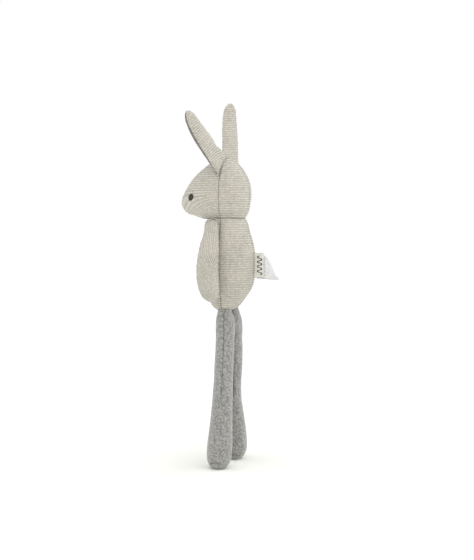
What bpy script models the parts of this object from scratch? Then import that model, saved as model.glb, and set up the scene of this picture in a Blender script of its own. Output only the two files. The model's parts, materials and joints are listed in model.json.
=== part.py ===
"""Long-legged knitted rabbit, a stuffed toy: sewn panels round their fillings, and two labels.

Metres, +Z up. The toy faces -Y and its left side is at +X. It stands on its soles at z = 0.
Each stuffed part is a stack of oval rings. Its skin is cut into the panels that are sewn together
there, and its filling is one closed solid inside them. Neighbouring pieces keep a small gap.
"""

import math
from collections import namedtuple

import bmesh
import bpy
from mathutils import Matrix, Vector

# ---- driving dimensions ----
HIP_HEIGHT = 0.1865         # the legs swing about this height
NECK_HEIGHT = 0.3025        # the head nods about this height
SHOULDER_HEIGHT = 0.2930    # the arms swing about this height
AXIS_Y = -0.0022            # the neck's and hips' place along Y, which centres the box on the origin
HIP_X = 0.0120              # half the distance between the hips
SHOULDER_X = 0.0310         # half the distance between the shoulder seams
SKIN = 0.0013               # thickness of the knit and jersey panels
GAP = 0.0003                # between pieces that touch
FILLING_GAP = 0.0008        # between a filling and the inside of its panels
BODY_SIDES = 20             # facets round the head and body
LIMB_SIDES = 14             # facets round a limb or an ear
LABEL_TOP, LABEL_BOTTOM = 0.2600, 0.2300

# ---- colours: linear base colour and roughness ----
KNIT = ((0.52, 0.50, 0.43), 0.95)
JERSEY = ((0.34, 0.335, 0.315), 0.95)
LINING = ((0.19, 0.175, 0.155), 0.95)
WADDING = ((0.85, 0.84, 0.80), 1.0)
THREAD = ((0.060, 0.052, 0.040), 0.6)
WOVEN_TAPE = ((0.74, 0.73, 0.66), 0.8)
SATIN_TAPE = ((0.80, 0.80, 0.79), 0.45)

# A ring: height, half widths along X and Y, centre, taper towards -Y, and turn about Z in degrees.
Ring = namedtuple("Ring", "z half_x half_y x y taper turn", defaults=(0.0, 0.0, 0.0, 0.0))
# A station is a ring with the direction of its surface: out is 1 on an upright wall, up is 1 on a top.
Station = namedtuple("Station", "ring out up")


def clear_scene():
    for thing in list(bpy.data.objects):
        bpy.data.objects.remove(thing)


def material(name, finish):
    colour, roughness = finish
    made = bpy.data.materials.new(name)
    made.use_nodes = True
    shader = made.node_tree.nodes["Principled BSDF"]
    shader.inputs["Base Color"].default_value = (*colour, 1.0)
    shader.inputs["Roughness"].default_value = roughness
    shader.inputs["Metallic"].default_value = 0.0
    return made


def joint_point(name, location):
    """An empty on a joint's axis; the pieces that move there are its children."""
    empty = bpy.data.objects.new(name, None)
    empty.location = location
    empty.empty_display_size = 0.02
    bpy.context.collection.objects.link(empty)
    return empty


def add_piece(name, bm, finish, parent):
    """Makes the mesh an object under parent, keeping where it is in the world."""
    bmesh.ops.recalc_face_normals(bm, faces=bm.faces[:])
    if bm.calc_volume(signed=True) < 0:
        bmesh.ops.reverse_faces(bm, faces=bm.faces[:])
    mesh = bpy.data.meshes.new(name)
    bm.to_mesh(mesh)
    bm.free()
    mesh.shade_smooth()
    mesh.set_sharp_from_angle(angle=math.radians(50))
    piece = bpy.data.objects.new(name, mesh)
    bpy.context.collection.objects.link(piece)
    mesh.materials.append(material(name + "_finish", finish))
    bpy.context.view_layer.update()
    mesh.transform(parent.matrix_world.inverted())
    piece.parent = parent
    return piece


def stations(rings):
    """Each ring with the direction its surface faces, from the rings above and below it."""
    found = []
    for index, ring in enumerate(rings):
        before = rings[max(index - 1, 0)]
        after = rings[min(index + 1, len(rings) - 1)]
        rise = after.z - before.z
        spread = (after.half_x + after.half_y - before.half_x - before.half_y) / 2
        length = math.hypot(rise, spread)
        downwards = -1.0 if rings[0].z > rings[-1].z else 1.0
        found.append(Station(ring, abs(rise) / length, -downwards * spread / length))
    return found


def ring_point(station, angle, inset):
    """The point at this angle round the ring, that far inside its surface."""
    ring, out, up = station
    half_x = max(ring.half_x - inset * out, 0.0004)
    half_y = max(ring.half_y - inset * out, 0.0004)
    across = half_x * math.cos(angle) * (1 + ring.taper * math.sin(angle))
    along = half_y * math.sin(angle)
    turn = math.radians(ring.turn)
    return Vector((
        ring.x + across * math.cos(turn) - along * math.sin(turn),
        ring.y + across * math.sin(turn) + along * math.cos(turn),
        ring.z - inset * up,
    ))


def loft(outlines):
    """A closed solid through these outlines: the first is filled, then extruded to each next one."""
    bm = bmesh.new()
    face = start = bm.faces.new([bm.verts.new(point) for point in outlines[0]])
    for last, outline in zip(outlines, outlines[1:]):
        grown = bmesh.ops.extrude_face_region(bm, geom=[face], use_keep_orig=True)["geom"]
        if face is not start:
            bmesh.ops.delete(bm, geom=[face], context="FACES_ONLY")
        face = next(part for part in grown if isinstance(part, bmesh.types.BMFace))
        order = [min(range(len(last)), key=lambda i: (last[i] - vert.co).length) for vert in face.verts]
        for vert, index in zip(face.verts, order):
            vert.co = outline[index]
    return bm


def panel_mesh(rings, first_deg, last_deg, sides, skin):
    """The skin between two seams, given as angles round the rings from +X towards +Y."""
    steps = max(round(sides * (last_deg - first_deg) / 360), 2)
    outlines = []
    for station in stations(rings):
        size = max((station.ring.half_x + station.ring.half_y) / 2, 0.001)
        seam = GAP / 2 / size
        first, last = math.radians(first_deg) + seam, math.radians(last_deg) - seam
        angles = [first + (last - first) * step / steps for step in range(steps + 1)]
        outer = [ring_point(station, angle, 0.0) for angle in angles]
        inner = [ring_point(station, angle, skin) for angle in reversed(angles)]
        outlines.append(outer + inner)
    return loft(outlines)


def filling_mesh(rings, sides, skin):
    """The filling inside the panels, through the rings that are thick enough to hold any."""
    inset = skin + FILLING_GAP
    angles = [math.tau * step / sides for step in range(sides)]
    inside = [at for at in stations(rings) if min(at.ring.half_x, at.ring.half_y) > inset + SKIN]
    return loft([[ring_point(station, angle, inset) for angle in angles] for station in inside])


def shift(rings, x=0.0, y=0.0, mirror=False):
    """The rings moved, or mirrored from the left side to the right."""
    side = -1.0 if mirror else 1.0
    return [ring._replace(x=side * (ring.x + x), y=ring.y + y, turn=side * ring.turn) for ring in rings]


def surface_at(rings, height, angle_deg):
    """The point of the surface at this height and angle, and the direction it faces."""
    angle = math.radians(angle_deg)
    upper = next(index for index, ring in enumerate(rings) if ring.z >= height)
    low, high = rings[upper - 1], rings[upper]
    share = (height - low.z) / (high.z - low.z)

    def spot(at, bend):
        return ring_point(Station(at, 1.0, 0.0), angle + bend, 0.0)

    point = spot(low, 0.0).lerp(spot(high, 0.0), share)
    round_it = spot(low, 0.05).lerp(spot(high, 0.05), share) - point
    up_it = spot(high, 0.0) - spot(low, 0.0)
    return point, round_it.cross(up_it).normalized()


# ---- head ----
HEAD_RINGS = [
    #    height  half X  half Y        centre Y     taper
    Ring(0.3030, 0.0030, 0.0030, y=-0.0030),
    Ring(0.3037, 0.0135, 0.0140, y=-0.0040, taper=0.05),
    Ring(0.3054, 0.0215, 0.0240, y=-0.0050, taper=0.15),
    Ring(0.3082, 0.0240, 0.0350, y=-0.0125, taper=0.35),
    Ring(0.3124, 0.0253, 0.0402, y=-0.0150, taper=0.45),
    Ring(0.3180, 0.0262, 0.0440, y=-0.0170, taper=0.46),
    Ring(0.3250, 0.0270, 0.0450, y=-0.0165, taper=0.48),
    Ring(0.3330, 0.0272, 0.0435, y=-0.0148, taper=0.46),
    Ring(0.3415, 0.0268, 0.0405, y=-0.0125, taper=0.46),
    Ring(0.3492, 0.0258, 0.0365, y=-0.0105, taper=0.40),
    Ring(0.3566, 0.0238, 0.0310, y=-0.0085, taper=0.32),
    Ring(0.3635, 0.0205, 0.0245, y=-0.0065, taper=0.22),
    Ring(0.3695, 0.0155, 0.0175, y=-0.0045, taper=0.12),
    Ring(0.3738, 0.0098, 0.0105, y=-0.0030, taper=0.05),
    Ring(0.3757, 0.0030, 0.0030, y=-0.0025),
]
HEAD_PANELS = {
    "head_back_left": (0, 90),
    "head_back_right": (90, 180),
    "head_front_right": (180, 270),
    "head_front_left": (270, 360),
}
EYE_HEIGHT, EYE_ANGLE, EYE_SIZE = 0.3280, -38.0, (0.0034, 0.0042)
NOSE_HEIGHT, NOSE_SIZE = 0.3200, (0.0040, 0.0030)
EMBROIDERY_THICKNESS = 0.0016
EMBROIDERY_LIFT = 0.0007    # clears the facets of the panel under it


def stitched_patch(name, centre, facing, size, parent):
    """A low oval dome of satin stitches, just clear of the surface it is sewn on."""
    bm = bmesh.new()
    bmesh.ops.create_uvsphere(bm, u_segments=14, v_segments=7, radius=1.0)
    bmesh.ops.scale(bm, vec=(*size, EMBROIDERY_THICKNESS / 2), verts=bm.verts[:])
    turn = facing.to_track_quat("Z", "Y").to_matrix().to_4x4()
    lift = facing * (EMBROIDERY_THICKNESS / 2 + EMBROIDERY_LIFT)
    bmesh.ops.transform(bm, matrix=Matrix.Translation(centre + lift) @ turn, verts=bm.verts[:])
    return add_piece(name, bm, THREAD, parent)


def make_head(neck):
    rings = shift(HEAD_RINGS, y=AXIS_Y)
    for name, (first, last) in HEAD_PANELS.items():
        add_piece(name, panel_mesh(rings, first, last, BODY_SIDES, SKIN), KNIT, neck)
    add_piece("head_filling", filling_mesh(rings, BODY_SIDES, SKIN), WADDING, neck)
    for side, angle in (("left", EYE_ANGLE), ("right", 180 - EYE_ANGLE)):
        place, facing = surface_at(rings, EYE_HEIGHT, angle)
        stitched_patch("eye_" + side, place, facing, EYE_SIZE, neck)
    place, facing = surface_at(rings, NOSE_HEIGHT, 270)
    stitched_patch("nose", place, facing, NOSE_SIZE, neck)


# ---- ears, sewn into the seam over the head's side ----
EAR_BASE = Vector((0.0180, AXIS_Y, 0.3705))
EAR_LENGTH = 0.0755
EAR_SKIN = 0.0010
EAR_SLOPE, EAR_CURVE = 1.17, 39.0    # how its lower edge follows the head, outwards and down
EAR_SHAPE = [
    # share of the length, half width, half thickness
    (0.000, 0.0095, 0.0016),
    (0.040, 0.0128, 0.0028),
    (0.150, 0.0155, 0.0043),
    (0.300, 0.0152, 0.0050),
    (0.460, 0.0142, 0.0050),
    (0.620, 0.0124, 0.0048),
    (0.780, 0.0106, 0.0044),
    (0.900, 0.0084, 0.0037),
    (0.970, 0.0051, 0.0027),
    (1.000, 0.0018, 0.0014),
]
# How far each ear leans outwards and forwards, its turn at the base and at the tip, and its curl, in degrees.
EAR_POSES = {"left": (25, 38, -6, -20, -11), "right": (-2, 9, 1, 38, -7)}
EAR_PANELS = {"outer": (0, 180), "lining": (180, 360)}


def ease(share):
    share = min(max(share, 0.0), 1.0)
    return share * share * (3 - 2 * share)


def place_ear(bm, side):
    """Lays an upright ear's lower edge along the head, leans it over its first quarter, and moves it."""
    out, forward, _, _, curl = EAR_POSES[side]
    mirror = -1 if side == "right" else 1
    for vert in bm.verts:
        local = vert.co.copy()
        share = local.z / EAR_LENGTH
        local.z -= (1 - ease(share / 0.45)) * (EAR_SLOPE * local.x + EAR_CURVE * local.x ** 2)
        leant = ease(share / 0.25)
        local.rotate(Matrix.Rotation(math.radians(forward * leant + curl * share), 3, "X"))
        local.rotate(Matrix.Rotation(math.radians(out * leant), 3, "Y"))
        vert.co = (mirror * (local.x + EAR_BASE.x), local.y + EAR_BASE.y, local.z + EAR_BASE.z)


def make_ear(side):
    """The outer panel faces back and the lining faces front."""
    base_turn, tip_turn = EAR_POSES[side][2:4]
    rings = [
        Ring(share * EAR_LENGTH, half_width, half_thickness, turn=base_turn + (tip_turn - base_turn) * share)
        for share, half_width, half_thickness in EAR_SHAPE
    ]
    hinge = joint_point("ear_seam_" + side, (-EAR_BASE.x if side == "right" else EAR_BASE.x, *EAR_BASE.yz))
    meshes = {
        part: (panel_mesh(rings, first, last, LIMB_SIDES, EAR_SKIN), LINING if part == "lining" else KNIT)
        for part, (first, last) in EAR_PANELS.items()
    }
    meshes["wadding"] = (filling_mesh(rings, LIMB_SIDES, EAR_SKIN), WADDING)
    for part, (bm, finish) in meshes.items():
        place_ear(bm, side)
        add_piece(f"ear_{side}_{part}", bm, finish, hinge)


# ---- body ----
BODY_RINGS = [
    Ring(0.1938, 0.0030, 0.0030, y=-0.0020),
    Ring(0.1950, 0.0095, 0.0100, y=-0.0020),
    Ring(0.1984, 0.0162, 0.0170, y=-0.0020),
    Ring(0.2053, 0.0230, 0.0240, y=-0.0005),
    Ring(0.2130, 0.0272, 0.0288, y=0.0003),
    Ring(0.2230, 0.0302, 0.0325, y=0.0008),
    Ring(0.2350, 0.0316, 0.0345, y=0.0008),
    Ring(0.2480, 0.0318, 0.0350, y=0.0007),
    Ring(0.2600, 0.0314, 0.0346, y=0.0005),
    Ring(0.2720, 0.0300, 0.0330, y=0.0000),
    Ring(0.2830, 0.0276, 0.0300, y=-0.0006),
    Ring(0.2930, 0.0248, 0.0268, y=-0.0012),
    Ring(0.2988, 0.0222, 0.0240, y=-0.0015),
    Ring(0.3006, 0.0140, 0.0150, y=-0.0015),
    Ring(0.3018, 0.0030, 0.0030, y=-0.0015),
]
BODY_PANELS = {
    "body_back_left": (0, 90),
    "body_back_right": (90, 180),
    "body_front": (180, 360),
}


def make_body(body):
    rings = shift(BODY_RINGS, y=AXIS_Y)
    for name, (first, last) in BODY_PANELS.items():
        add_piece(name, panel_mesh(rings, first, last, BODY_SIDES, SKIN), KNIT, body)
    add_piece("body_filling", filling_mesh(rings, BODY_SIDES, SKIN), WADDING, body)


# ---- labels, both caught in the centre back seam ----
LABEL_SEAM_Y = 0.0360 + AXIS_Y
LABEL_START_Y = LABEL_SEAM_Y + 0.0018    # room to turn beside the seam
WOVEN_LABEL_END_Y = LABEL_SEAM_Y + 0.0120
CARE_LABEL_END_Y = LABEL_SEAM_Y + 0.0320


def strip_mesh(outline, x, thickness):
    """A flat strip of tape, its outline given in Y and Z, that thick about the plane at x."""
    low = [Vector((x - thickness / 2, y, z)) for y, z in outline]
    high = [Vector((x + thickness / 2, y, z)) for y, z in outline]
    return loft([low, high])


def make_labels():
    hinge = joint_point("label_seam", (0.0, LABEL_SEAM_Y, LABEL_BOTTOM))
    woven = [
        (LABEL_START_Y, LABEL_BOTTOM), (WOVEN_LABEL_END_Y, LABEL_BOTTOM),
        (WOVEN_LABEL_END_Y, LABEL_TOP), (LABEL_START_Y, LABEL_TOP),
    ]
    add_piece("woven_label", strip_mesh(woven, 0.0007, 0.0010), WOVEN_TAPE, hinge)
    care = [
        (LABEL_START_Y, LABEL_BOTTOM + 0.0015), (LABEL_SEAM_Y + 0.020, LABEL_BOTTOM - 0.0010),
        (CARE_LABEL_END_Y - 0.002, LABEL_BOTTOM - 0.0035), (CARE_LABEL_END_Y, LABEL_BOTTOM - 0.0015),
        (CARE_LABEL_END_Y - 0.004, LABEL_BOTTOM + 0.009), (LABEL_SEAM_Y + 0.022, LABEL_TOP - 0.010),
        (LABEL_SEAM_Y + 0.014, LABEL_TOP - 0.0045), (LABEL_START_Y, LABEL_TOP - 0.0020),
    ]
    add_piece("care_label", strip_mesh(care, -0.0005, 0.0006), SATIN_TAPE, hinge)


# ---- limbs: rings from the seam down, for the left side ----
ARM_RINGS = [
    Ring(0.2992, 0.0012, 0.0030, x=0.0305, y=-0.0065),
    Ring(0.2975, 0.0026, 0.0062, x=0.0308, y=-0.0067),
    Ring(0.2930, 0.0034, 0.0080, x=0.0315, y=-0.0070),
    Ring(0.2830, 0.0048, 0.0100, x=0.0348, y=-0.0074),
    Ring(0.2720, 0.0064, 0.0124, x=0.0385, y=-0.0076),
    Ring(0.2590, 0.0080, 0.0136, x=0.0408, y=-0.0084),
    Ring(0.2440, 0.0088, 0.0143, x=0.0418, y=-0.0094),
    Ring(0.2300, 0.0090, 0.0145, x=0.0420, y=-0.0090),
    Ring(0.2180, 0.0087, 0.0137, x=0.0418, y=-0.0074),
    Ring(0.2090, 0.0074, 0.0110, x=0.0414, y=-0.0060),
    Ring(0.2035, 0.0050, 0.0066, x=0.0410, y=-0.0052),
    Ring(0.2013, 0.0018, 0.0022, x=0.0410, y=-0.0048),
]
ARM_PANELS = {"outer": (-90, 90), "inner": (90, 270)}
LEG_RINGS = [
    Ring(0.1925, 0.0020, 0.0022, x=0.0120, y=0.0010),
    Ring(0.1908, 0.0058, 0.0056, x=0.0120, y=0.0010),
    Ring(0.1865, 0.0082, 0.0074, x=0.0121, y=0.0012),
    Ring(0.1770, 0.0098, 0.0096, x=0.0124, y=0.0018),
    Ring(0.1650, 0.0104, 0.0106, x=0.0130, y=0.0020),
    Ring(0.1400, 0.0108, 0.0110, x=0.0147, y=0.0020),
    Ring(0.1050, 0.0116, 0.0119, x=0.0180, y=0.0018),
    Ring(0.0700, 0.0128, 0.0131, x=0.0213, y=0.0012),
    Ring(0.0450, 0.0142, 0.0146, x=0.0238, y=0.0005),
    Ring(0.0260, 0.0154, 0.0158, x=0.0253, y=0.0000),
    Ring(0.0130, 0.0152, 0.0155, x=0.0260, y=-0.0004),
    Ring(0.0045, 0.0126, 0.0128, x=0.0260, y=-0.0010),
    Ring(0.0000, 0.0088, 0.0090, x=0.0260, y=-0.0014),
    Ring(0.0000, 0.0012, 0.0012, x=0.0260, y=-0.0014),
]
LEG_PANELS = {"back": (0, 180), "front": (180, 360)}


def make_limb(kind, side, rings, panels, finish, hinge_height):
    """Two panels and a filling, hung from an empty on the seam's axis."""
    mirror = side == "right"
    placed = shift(rings, y=AXIS_Y, mirror=mirror)
    seam_x = SHOULDER_X if kind == "arm" else HIP_X
    hinge = joint_point(f"{kind}_seam_{side}", (-seam_x if mirror else seam_x, placed[2].y, hinge_height))
    for part, (first, last) in panels.items():
        if mirror and kind == "arm":
            first, last = first + 180, last + 180
        bm = panel_mesh(placed, first, last, LIMB_SIDES, SKIN)
        add_piece(f"{kind}_{side}_{part}", bm, finish, hinge)
    add_piece(f"{kind}_{side}_filling", filling_mesh(placed, LIMB_SIDES, SKIN), WADDING, hinge)


def make_limbs():
    for side in ("left", "right"):
        make_limb("arm", side, ARM_RINGS, ARM_PANELS, KNIT, SHOULDER_HEIGHT)
        make_limb("leg", side, LEG_RINGS, LEG_PANELS, JERSEY, HIP_HEIGHT)


def main():
    clear_scene()
    make_body(joint_point("body_axis", (0.0, AXIS_Y, NECK_HEIGHT)))
    make_head(joint_point("neck_axis", (0.0, AXIS_Y, NECK_HEIGHT)))
    for side in EAR_POSES:
        make_ear(side)
    make_labels()
    make_limbs()


main()
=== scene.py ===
"""The looks of a stuffed rabbit: knitted head, body, arms and ears, jersey legs, stitched face, two labels.

The covers of the head, body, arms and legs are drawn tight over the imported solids, and the ears are shaped
from their own sizes. A short cloth simulation swells each cover a little, then it gets its seams and relief.
Run it as a script: it registers its operators and calls them in order.
"""

import json
import math

import bmesh
import bpy
import numpy as np
from bpy.props import FloatProperty, FloatVectorProperty, IntProperty, PointerProperty
from mathutils import Matrix, Vector
from mathutils.bvhtree import BVHTree


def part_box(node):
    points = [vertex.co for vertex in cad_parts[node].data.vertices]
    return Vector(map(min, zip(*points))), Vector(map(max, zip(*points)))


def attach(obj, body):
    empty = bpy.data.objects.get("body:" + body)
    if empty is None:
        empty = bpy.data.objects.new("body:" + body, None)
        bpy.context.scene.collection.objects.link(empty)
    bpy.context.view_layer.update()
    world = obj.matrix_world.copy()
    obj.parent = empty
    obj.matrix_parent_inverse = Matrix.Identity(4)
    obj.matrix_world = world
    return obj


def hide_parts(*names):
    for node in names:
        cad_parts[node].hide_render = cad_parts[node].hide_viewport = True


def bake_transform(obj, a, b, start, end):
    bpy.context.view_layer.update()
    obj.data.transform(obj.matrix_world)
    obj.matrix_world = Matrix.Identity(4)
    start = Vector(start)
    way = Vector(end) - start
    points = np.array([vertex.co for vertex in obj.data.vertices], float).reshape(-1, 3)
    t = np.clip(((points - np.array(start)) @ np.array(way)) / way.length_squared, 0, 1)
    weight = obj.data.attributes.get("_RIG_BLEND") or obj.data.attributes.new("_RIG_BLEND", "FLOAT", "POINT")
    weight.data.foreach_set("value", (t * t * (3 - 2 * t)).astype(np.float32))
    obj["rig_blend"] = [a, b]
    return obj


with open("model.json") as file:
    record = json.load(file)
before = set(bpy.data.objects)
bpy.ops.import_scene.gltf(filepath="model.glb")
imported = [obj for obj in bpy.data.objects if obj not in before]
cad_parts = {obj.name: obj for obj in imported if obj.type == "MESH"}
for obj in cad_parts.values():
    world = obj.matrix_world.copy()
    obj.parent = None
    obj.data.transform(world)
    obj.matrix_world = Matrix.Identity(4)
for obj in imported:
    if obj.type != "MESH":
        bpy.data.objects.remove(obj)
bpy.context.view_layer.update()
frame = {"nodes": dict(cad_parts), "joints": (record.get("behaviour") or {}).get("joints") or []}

bl_info = {
    "name": "Stuffed Rabbit",
    "version": (1, 0, 0),
    "blender": (4, 5, 0),
    "location": "View3D > Sidebar > Rabbit",
    "description": "Sews the knitted and jersey covers, face and labels of a stuffed rabbit around its frame",
    "category": "Add Mesh",
}

# Where the pieces meet, in metres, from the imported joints. X is across the toy, -Y is the way it faces.
HINGES = {joint["child"]: Vector(joint["pos_m"]) for joint in frame["joints"]}
NECK = HINGES["head"]
SIDES = {"left": 1, "right": -1}
UP = Vector((0, 0, 1))
ACROSS = Vector((1, 0, 0))

REACH = 0.2  # how far out a line to the frame's surface starts
STEADY_ENDS = (0.04, 0.96)  # shares of a limb's length between which its middle is followed
GAP_STEP = 0.0004  # clears the gaps between the frame's panels
FABRIC_MAP = "Fabric"  # the UV map that holds wales across and courses up
SEAM_SHADE_LAYER = "seam"  # the attribute of painted shade in the seams' grooves and creases: 1 in a seam and 0 away from it


# ---------------------------------------------------------------- sizes and colours

class KnitSettings(bpy.types.PropertyGroup):
    """The ribbed knit of the head, body, arms and ears."""

    course: FloatProperty(
        name="Course", description="Height of one striped course", default=0.0028, unit="LENGTH"
    )
    wale: FloatProperty(name="Wale", description="Width of one stitch", default=0.0021, unit="LENGTH")
    relief: FloatProperty(
        name="Relief", description="Height of the knitted ridges", default=0.00013, unit="LENGTH"
    )
    light: FloatVectorProperty(
        name="Light yarn", description="Colour of the raised yarn",
        subtype="COLOR", default=(0.635, 0.61, 0.525)
    )
    dark: FloatVectorProperty(
        name="Dark yarn", description="Colour of the sunken yarn",
        subtype="COLOR", default=(0.225, 0.207, 0.168)
    )


class JerseySettings(bpy.types.PropertyGroup):
    """The fine melange jersey of the legs and the ears' linings."""

    course: FloatProperty(name="Course", description="Height of one row", default=0.0014, unit="LENGTH")
    wale: FloatProperty(name="Wale", description="Width of one stitch", default=0.0012, unit="LENGTH")
    relief: FloatProperty(
        name="Relief", description="Height of the brushed surface", default=0.00008, unit="LENGTH"
    )
    light: FloatVectorProperty(
        name="Light fibre", description="Colour of the pale fibres",
        subtype="COLOR", default=(0.44, 0.435, 0.41)
    )
    dark: FloatVectorProperty(
        name="Dark fibre", description="Colour of the dark fibres",
        subtype="COLOR", default=(0.10, 0.097, 0.09)
    )
    lining_light: FloatVectorProperty(
        name="Lining light", description="Pale fibres of the linings",
        subtype="COLOR", default=(0.27, 0.25, 0.225)
    )
    lining_dark: FloatVectorProperty(
        name="Lining dark", description="Dark fibres of the linings",
        subtype="COLOR", default=(0.10, 0.092, 0.082)
    )


class SewingSettings(bpy.types.PropertyGroup):
    """Seams, stuffing and thread."""

    groove: FloatProperty(name="Groove", description="Depth of a seam", default=0.0011, unit="LENGTH")
    groove_width: FloatProperty(
        name="Groove width", description="Half width of a seam", default=0.0011, unit="LENGTH"
    )
    # half width of the painted shade along each seam's groove
    seam_shade_width: FloatProperty(
        name="Seam width", description="Half width of a seam's dark line", default=0.0007, unit="LENGTH"
    )
    pucker: FloatProperty(
        name="Pucker", description="Height of the gathers at a seam", default=0.00022, unit="LENGTH"
    )
    pucker_pitch: FloatProperty(
        name="Pucker pitch", description="Spacing of the gathers", default=0.0072, unit="LENGTH"
    )
    stitch_pitch: FloatProperty(
        name="Stitch pitch", description="Spacing of stitches", default=0.0031, unit="LENGTH"
    )
    thread: FloatProperty(
        name="Thread", description="Radius of the sewing thread", default=0.00024, unit="LENGTH"
    )
    pressure: FloatProperty(
        name="Stuffing", description="Pressure of the stuffing in the simulation", default=4.0
    )
    frames: IntProperty(name="Frames", description="Frames that the stuffing is simulated for", default=20)
    swell: FloatProperty(
        name="Swell", description="Furthest that stuffing moves a cover", default=0.0012, unit="LENGTH"
    )


class StageSettings(bpy.types.PropertyGroup):
    """The camera, the lights and the floor."""

    azimuth: FloatProperty(
        name="Azimuth", description="Angle of the camera round the toy", default=math.radians(112),
        subtype="ANGLE"
    )
    distance: FloatProperty(
        name="Distance", description="Camera to the toy's axis", default=1.2, unit="LENGTH"
    )
    lens: FloatProperty(name="Lens", description="Focal length in millimetres", default=62.45)
    aside: FloatProperty(
        name="Aside", description="View's middle right of the axis", default=0.01165, unit="LENGTH"
    )
    drop: FloatProperty(
        name="Drop", description="Downward shift of the level lens, in picture heights", default=0.1105
    )
    ambient: FloatProperty(name="Ambient", description="Strength of the light from all round", default=0.50)
    side_light: FloatProperty(name="Side light", description="Strength of each side light", default=1.5)
    top_light: FloatProperty(name="Top light", description="Strength of the overhead light", default=0.8)
    softness: FloatProperty(
        name="Softness", description="How wide each light is", default=math.radians(110), subtype="ANGLE"
    )


GROUPS = {
    "rabbit_knit": KnitSettings,
    "rabbit_jersey": JerseySettings,
    "rabbit_sewing": SewingSettings,
    "rabbit_stage": StageSettings,
}


# ---------------------------------------------------------------- materials

class Shader:
    """A new material's node tree, with short ways to add and join its nodes."""

    def __init__(self, name, roughness, sheen=0.0):
        self.material = bpy.data.materials.new(name)
        self.material.use_nodes = True
        self.tree = self.material.node_tree
        self.surface = self.tree.nodes["Principled BSDF"]
        self.surface.inputs["Roughness"].default_value = roughness
        self.surface.inputs["Specular IOR Level"].default_value = 0.2
        self.surface.inputs["Sheen Weight"].default_value = sheen
        self.surface.inputs["Sheen Roughness"].default_value = 0.6

    def node(self, kind, inputs=(), **settings):
        """A node with its settings, and its inputs set to values or to other nodes' outputs."""
        node = self.tree.nodes.new("ShaderNode" + kind)
        for name, value in settings.items():
            setattr(node, name, value)
        for name, value in dict(inputs).items():
            self.put(node.inputs[name], value)
        return node

    def put(self, socket, value):
        if isinstance(value, bpy.types.NodeSocket):
            self.tree.links.new(value, socket)
        else:
            socket.default_value = value

    def math(self, operation, first, second=0.0):
        return self.node("Math", {0: first, 1: second}, operation=operation).outputs[0]

    def add(self, first, second):
        return self.math("ADD", first, second)

    def times(self, first, second):
        return self.math("MULTIPLY", first, second)

    def noise(self, scale, detail=2.0, stretch=(1, 1, 1)):
        """Noise on the piece's own coordinates, with about scale features in a metre."""
        place = self.node("TexCoord").outputs["Object"]
        sized = self.node("Mapping", {"Vector": place, "Scale": stretch}).outputs[0]
        return self.node("TexNoise", {"Vector": sized, "Scale": scale, "Detail": detail}).outputs["Fac"]

    def mix(self, share, first, second):
        """A colour that goes from first to second: a Mix node's inputs 6 and 7, and its output 2."""
        node = self.node("Mix", data_type="RGBA")
        self.put(node.inputs["Factor"], share)
        self.put(node.inputs[6], first)
        self.put(node.inputs[7], second)
        return node.outputs[2]

    def fit(self, value, low, high):
        """Value spread from low..high to 0..1."""
        return self.node("MapRange", {"Value": value, "From Min": low, "From Max": high}).outputs[0]

    def finish(self, colour, roughness, height, distance, strength=1.0):
        """Joins colour, roughness and bump to the surface."""
        bump = self.node("Bump", {"Height": height, "Distance": distance, "Strength": strength})
        self.put(self.surface.inputs["Base Color"], colour)
        self.put(self.surface.inputs["Roughness"], roughness)
        self.put(self.surface.inputs["Normal"], bump.outputs[0])
        return self.material


def rgba(colour):
    return (*colour, 1.0)


def knit_loops(shader):
    """(ridge, wale, chance) of the V-shaped loops.

    Ridge is 1 on each course's crest, wale is 1 in a stitch's middle and 0 between stitches, and chance is a
    number of each stitch's own from 0 to 1.
    """
    place = shader.node("UVMap", uv_map=FABRIC_MAP).outputs[0]
    wander = shader.fit(shader.noise(110, 2), 0.0, 1.0)
    parts = shader.node("SeparateXYZ", {0: place})
    across = shader.math("ABSOLUTE", shader.math("SUBTRACT", shader.math("FRACT", parts.outputs[0]), 0.5))
    slanted = shader.add(parts.outputs[1], shader.times(across, 0.45))
    slanted = shader.add(slanted, shader.times(wander, 0.5))
    crest = shader.math("COSINE", shader.times(slanted, 2 * math.pi))
    wale = shader.math("SINE", shader.times(across, math.pi))
    cell = shader.node("VectorMath", {0: place}, operation="FLOOR").outputs[0]
    chance = shader.node("TexWhiteNoise", {"Vector": cell}, noise_dimensions="2D").outputs["Value"]
    ridge = shader.add(shader.times(crest, 0.5), 0.5)
    return ridge, shader.math("SUBTRACT", 1.0, wale), chance


def seam_shade(shader, colour, depth):
    """The colour, darkened in the seams' grooves and the feet's creases: painted shade."""
    seam = shader.node("Attribute", attribute_name=SEAM_SHADE_LAYER, attribute_type="GEOMETRY").outputs["Fac"]
    # painted shade: seams and creases darkened towards near black, as strongly as depth says
    dark = shader.mix(1.0 - depth, (0.030, 0.026, 0.021, 1), colour)
    return shader.mix(shader.fit(seam, 0.25, 0.95), colour, dark)


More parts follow.
